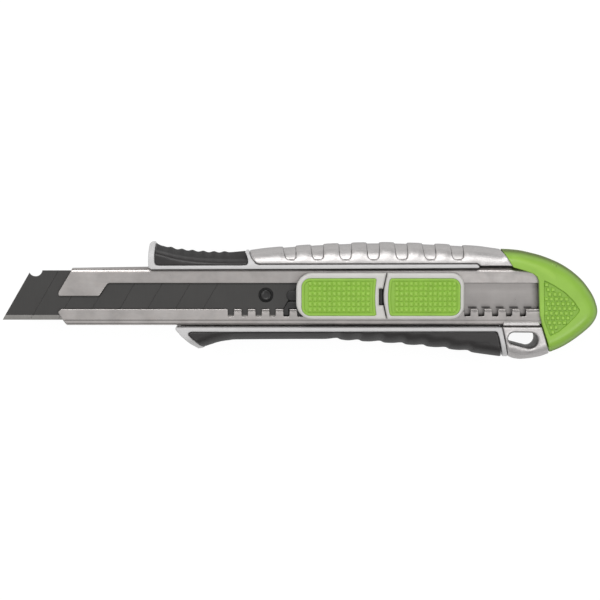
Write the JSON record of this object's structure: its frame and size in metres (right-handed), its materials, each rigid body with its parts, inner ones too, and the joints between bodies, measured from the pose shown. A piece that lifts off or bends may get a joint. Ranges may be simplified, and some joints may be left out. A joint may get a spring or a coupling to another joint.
{
  "type": "utility knife",
  "caption": "Snap-off utility knife with a cast metal handle, steel blade channel, press-to-slide thumb pads with a detent rack, soft grips and a pull-out magazine of spare blades.",
  "frame": {"origin": "middle of the length and of the height in plan, on the plane the back rests on", "axes": "+X from the blade's tip to the end cap, +Y from the cutting edge to the spine, +Z from the back to the slider"},
  "size_m": [0.2168, 0.043, 0.0186],
  "materials": {
    "cast_metal": "satin cast",
    "light_plastic": "smooth satin",
    "black_rubber": "fine grain",
    "channel_steel": "brushed along its length",
    "screw_steel": "plated",
    "spring_steel": "bright",
    "blade_oxide": "black oxide, satin",
    "black_plastic": "satin",
    "green_grip": "soft, satin",
    "green_plastic": "fine satin"
  },
  "bodies": {
    "housing": {"cast_body": "cast_metal", "upper_trim": "light_plastic", "thumb_grip": "black_rubber", "lower_trim": "light_plastic", "finger_grip": "black_rubber", "blade_channel": "channel_steel", "channel_screws": "screw_steel", "magazine_catch": "spring_steel"},
    "carriage": {"blade": "blade_oxide", "blade_carriage": "black_plastic", "blade_hub": "black_plastic"},
    "front_pad": {"front_pad_frame": "light_plastic", "front_pad_grip": "green_grip", "front_detent_spring": "spring_steel"},
    "rear_pad": {"rear_pad_frame": "light_plastic", "rear_pad_grip": "green_grip", "rear_detent_spring": "spring_steel"},
    "magazine": {"end_cap": "green_plastic", "magazine_tray": "black_plastic", "spare_blades": "blade_oxide", "blade_hold_spring": "spring_steel"}
  },
  "joints": [
    {"name": "slider_travel", "type": "slide", "parent": "housing", "child": "carriage", "axis": [-1, 0, 0], "range_m": [-0.0253, 0.02024]},
    {"name": "front_pad_press", "type": "slide", "parent": "carriage", "child": "front_pad", "axis": [0, 0, -1], "range_m": [0, 0.001], "stiffness_N_per_m": 1500, "deforming": ["front_detent_spring"]},
    {"name": "rear_pad_press", "type": "slide", "parent": "carriage", "child": "rear_pad", "axis": [0, 0, -1], "range_m": [0, 0.001], "stiffness_N_per_m": 1500, "deforming": ["rear_detent_spring"]},
    {"name": "magazine_slide", "type": "slide", "parent": "housing", "child": "magazine", "axis": [1, 0, 0], "range_m": [0, 0.115], "deforming": ["magazine_catch"]}
  ]
}
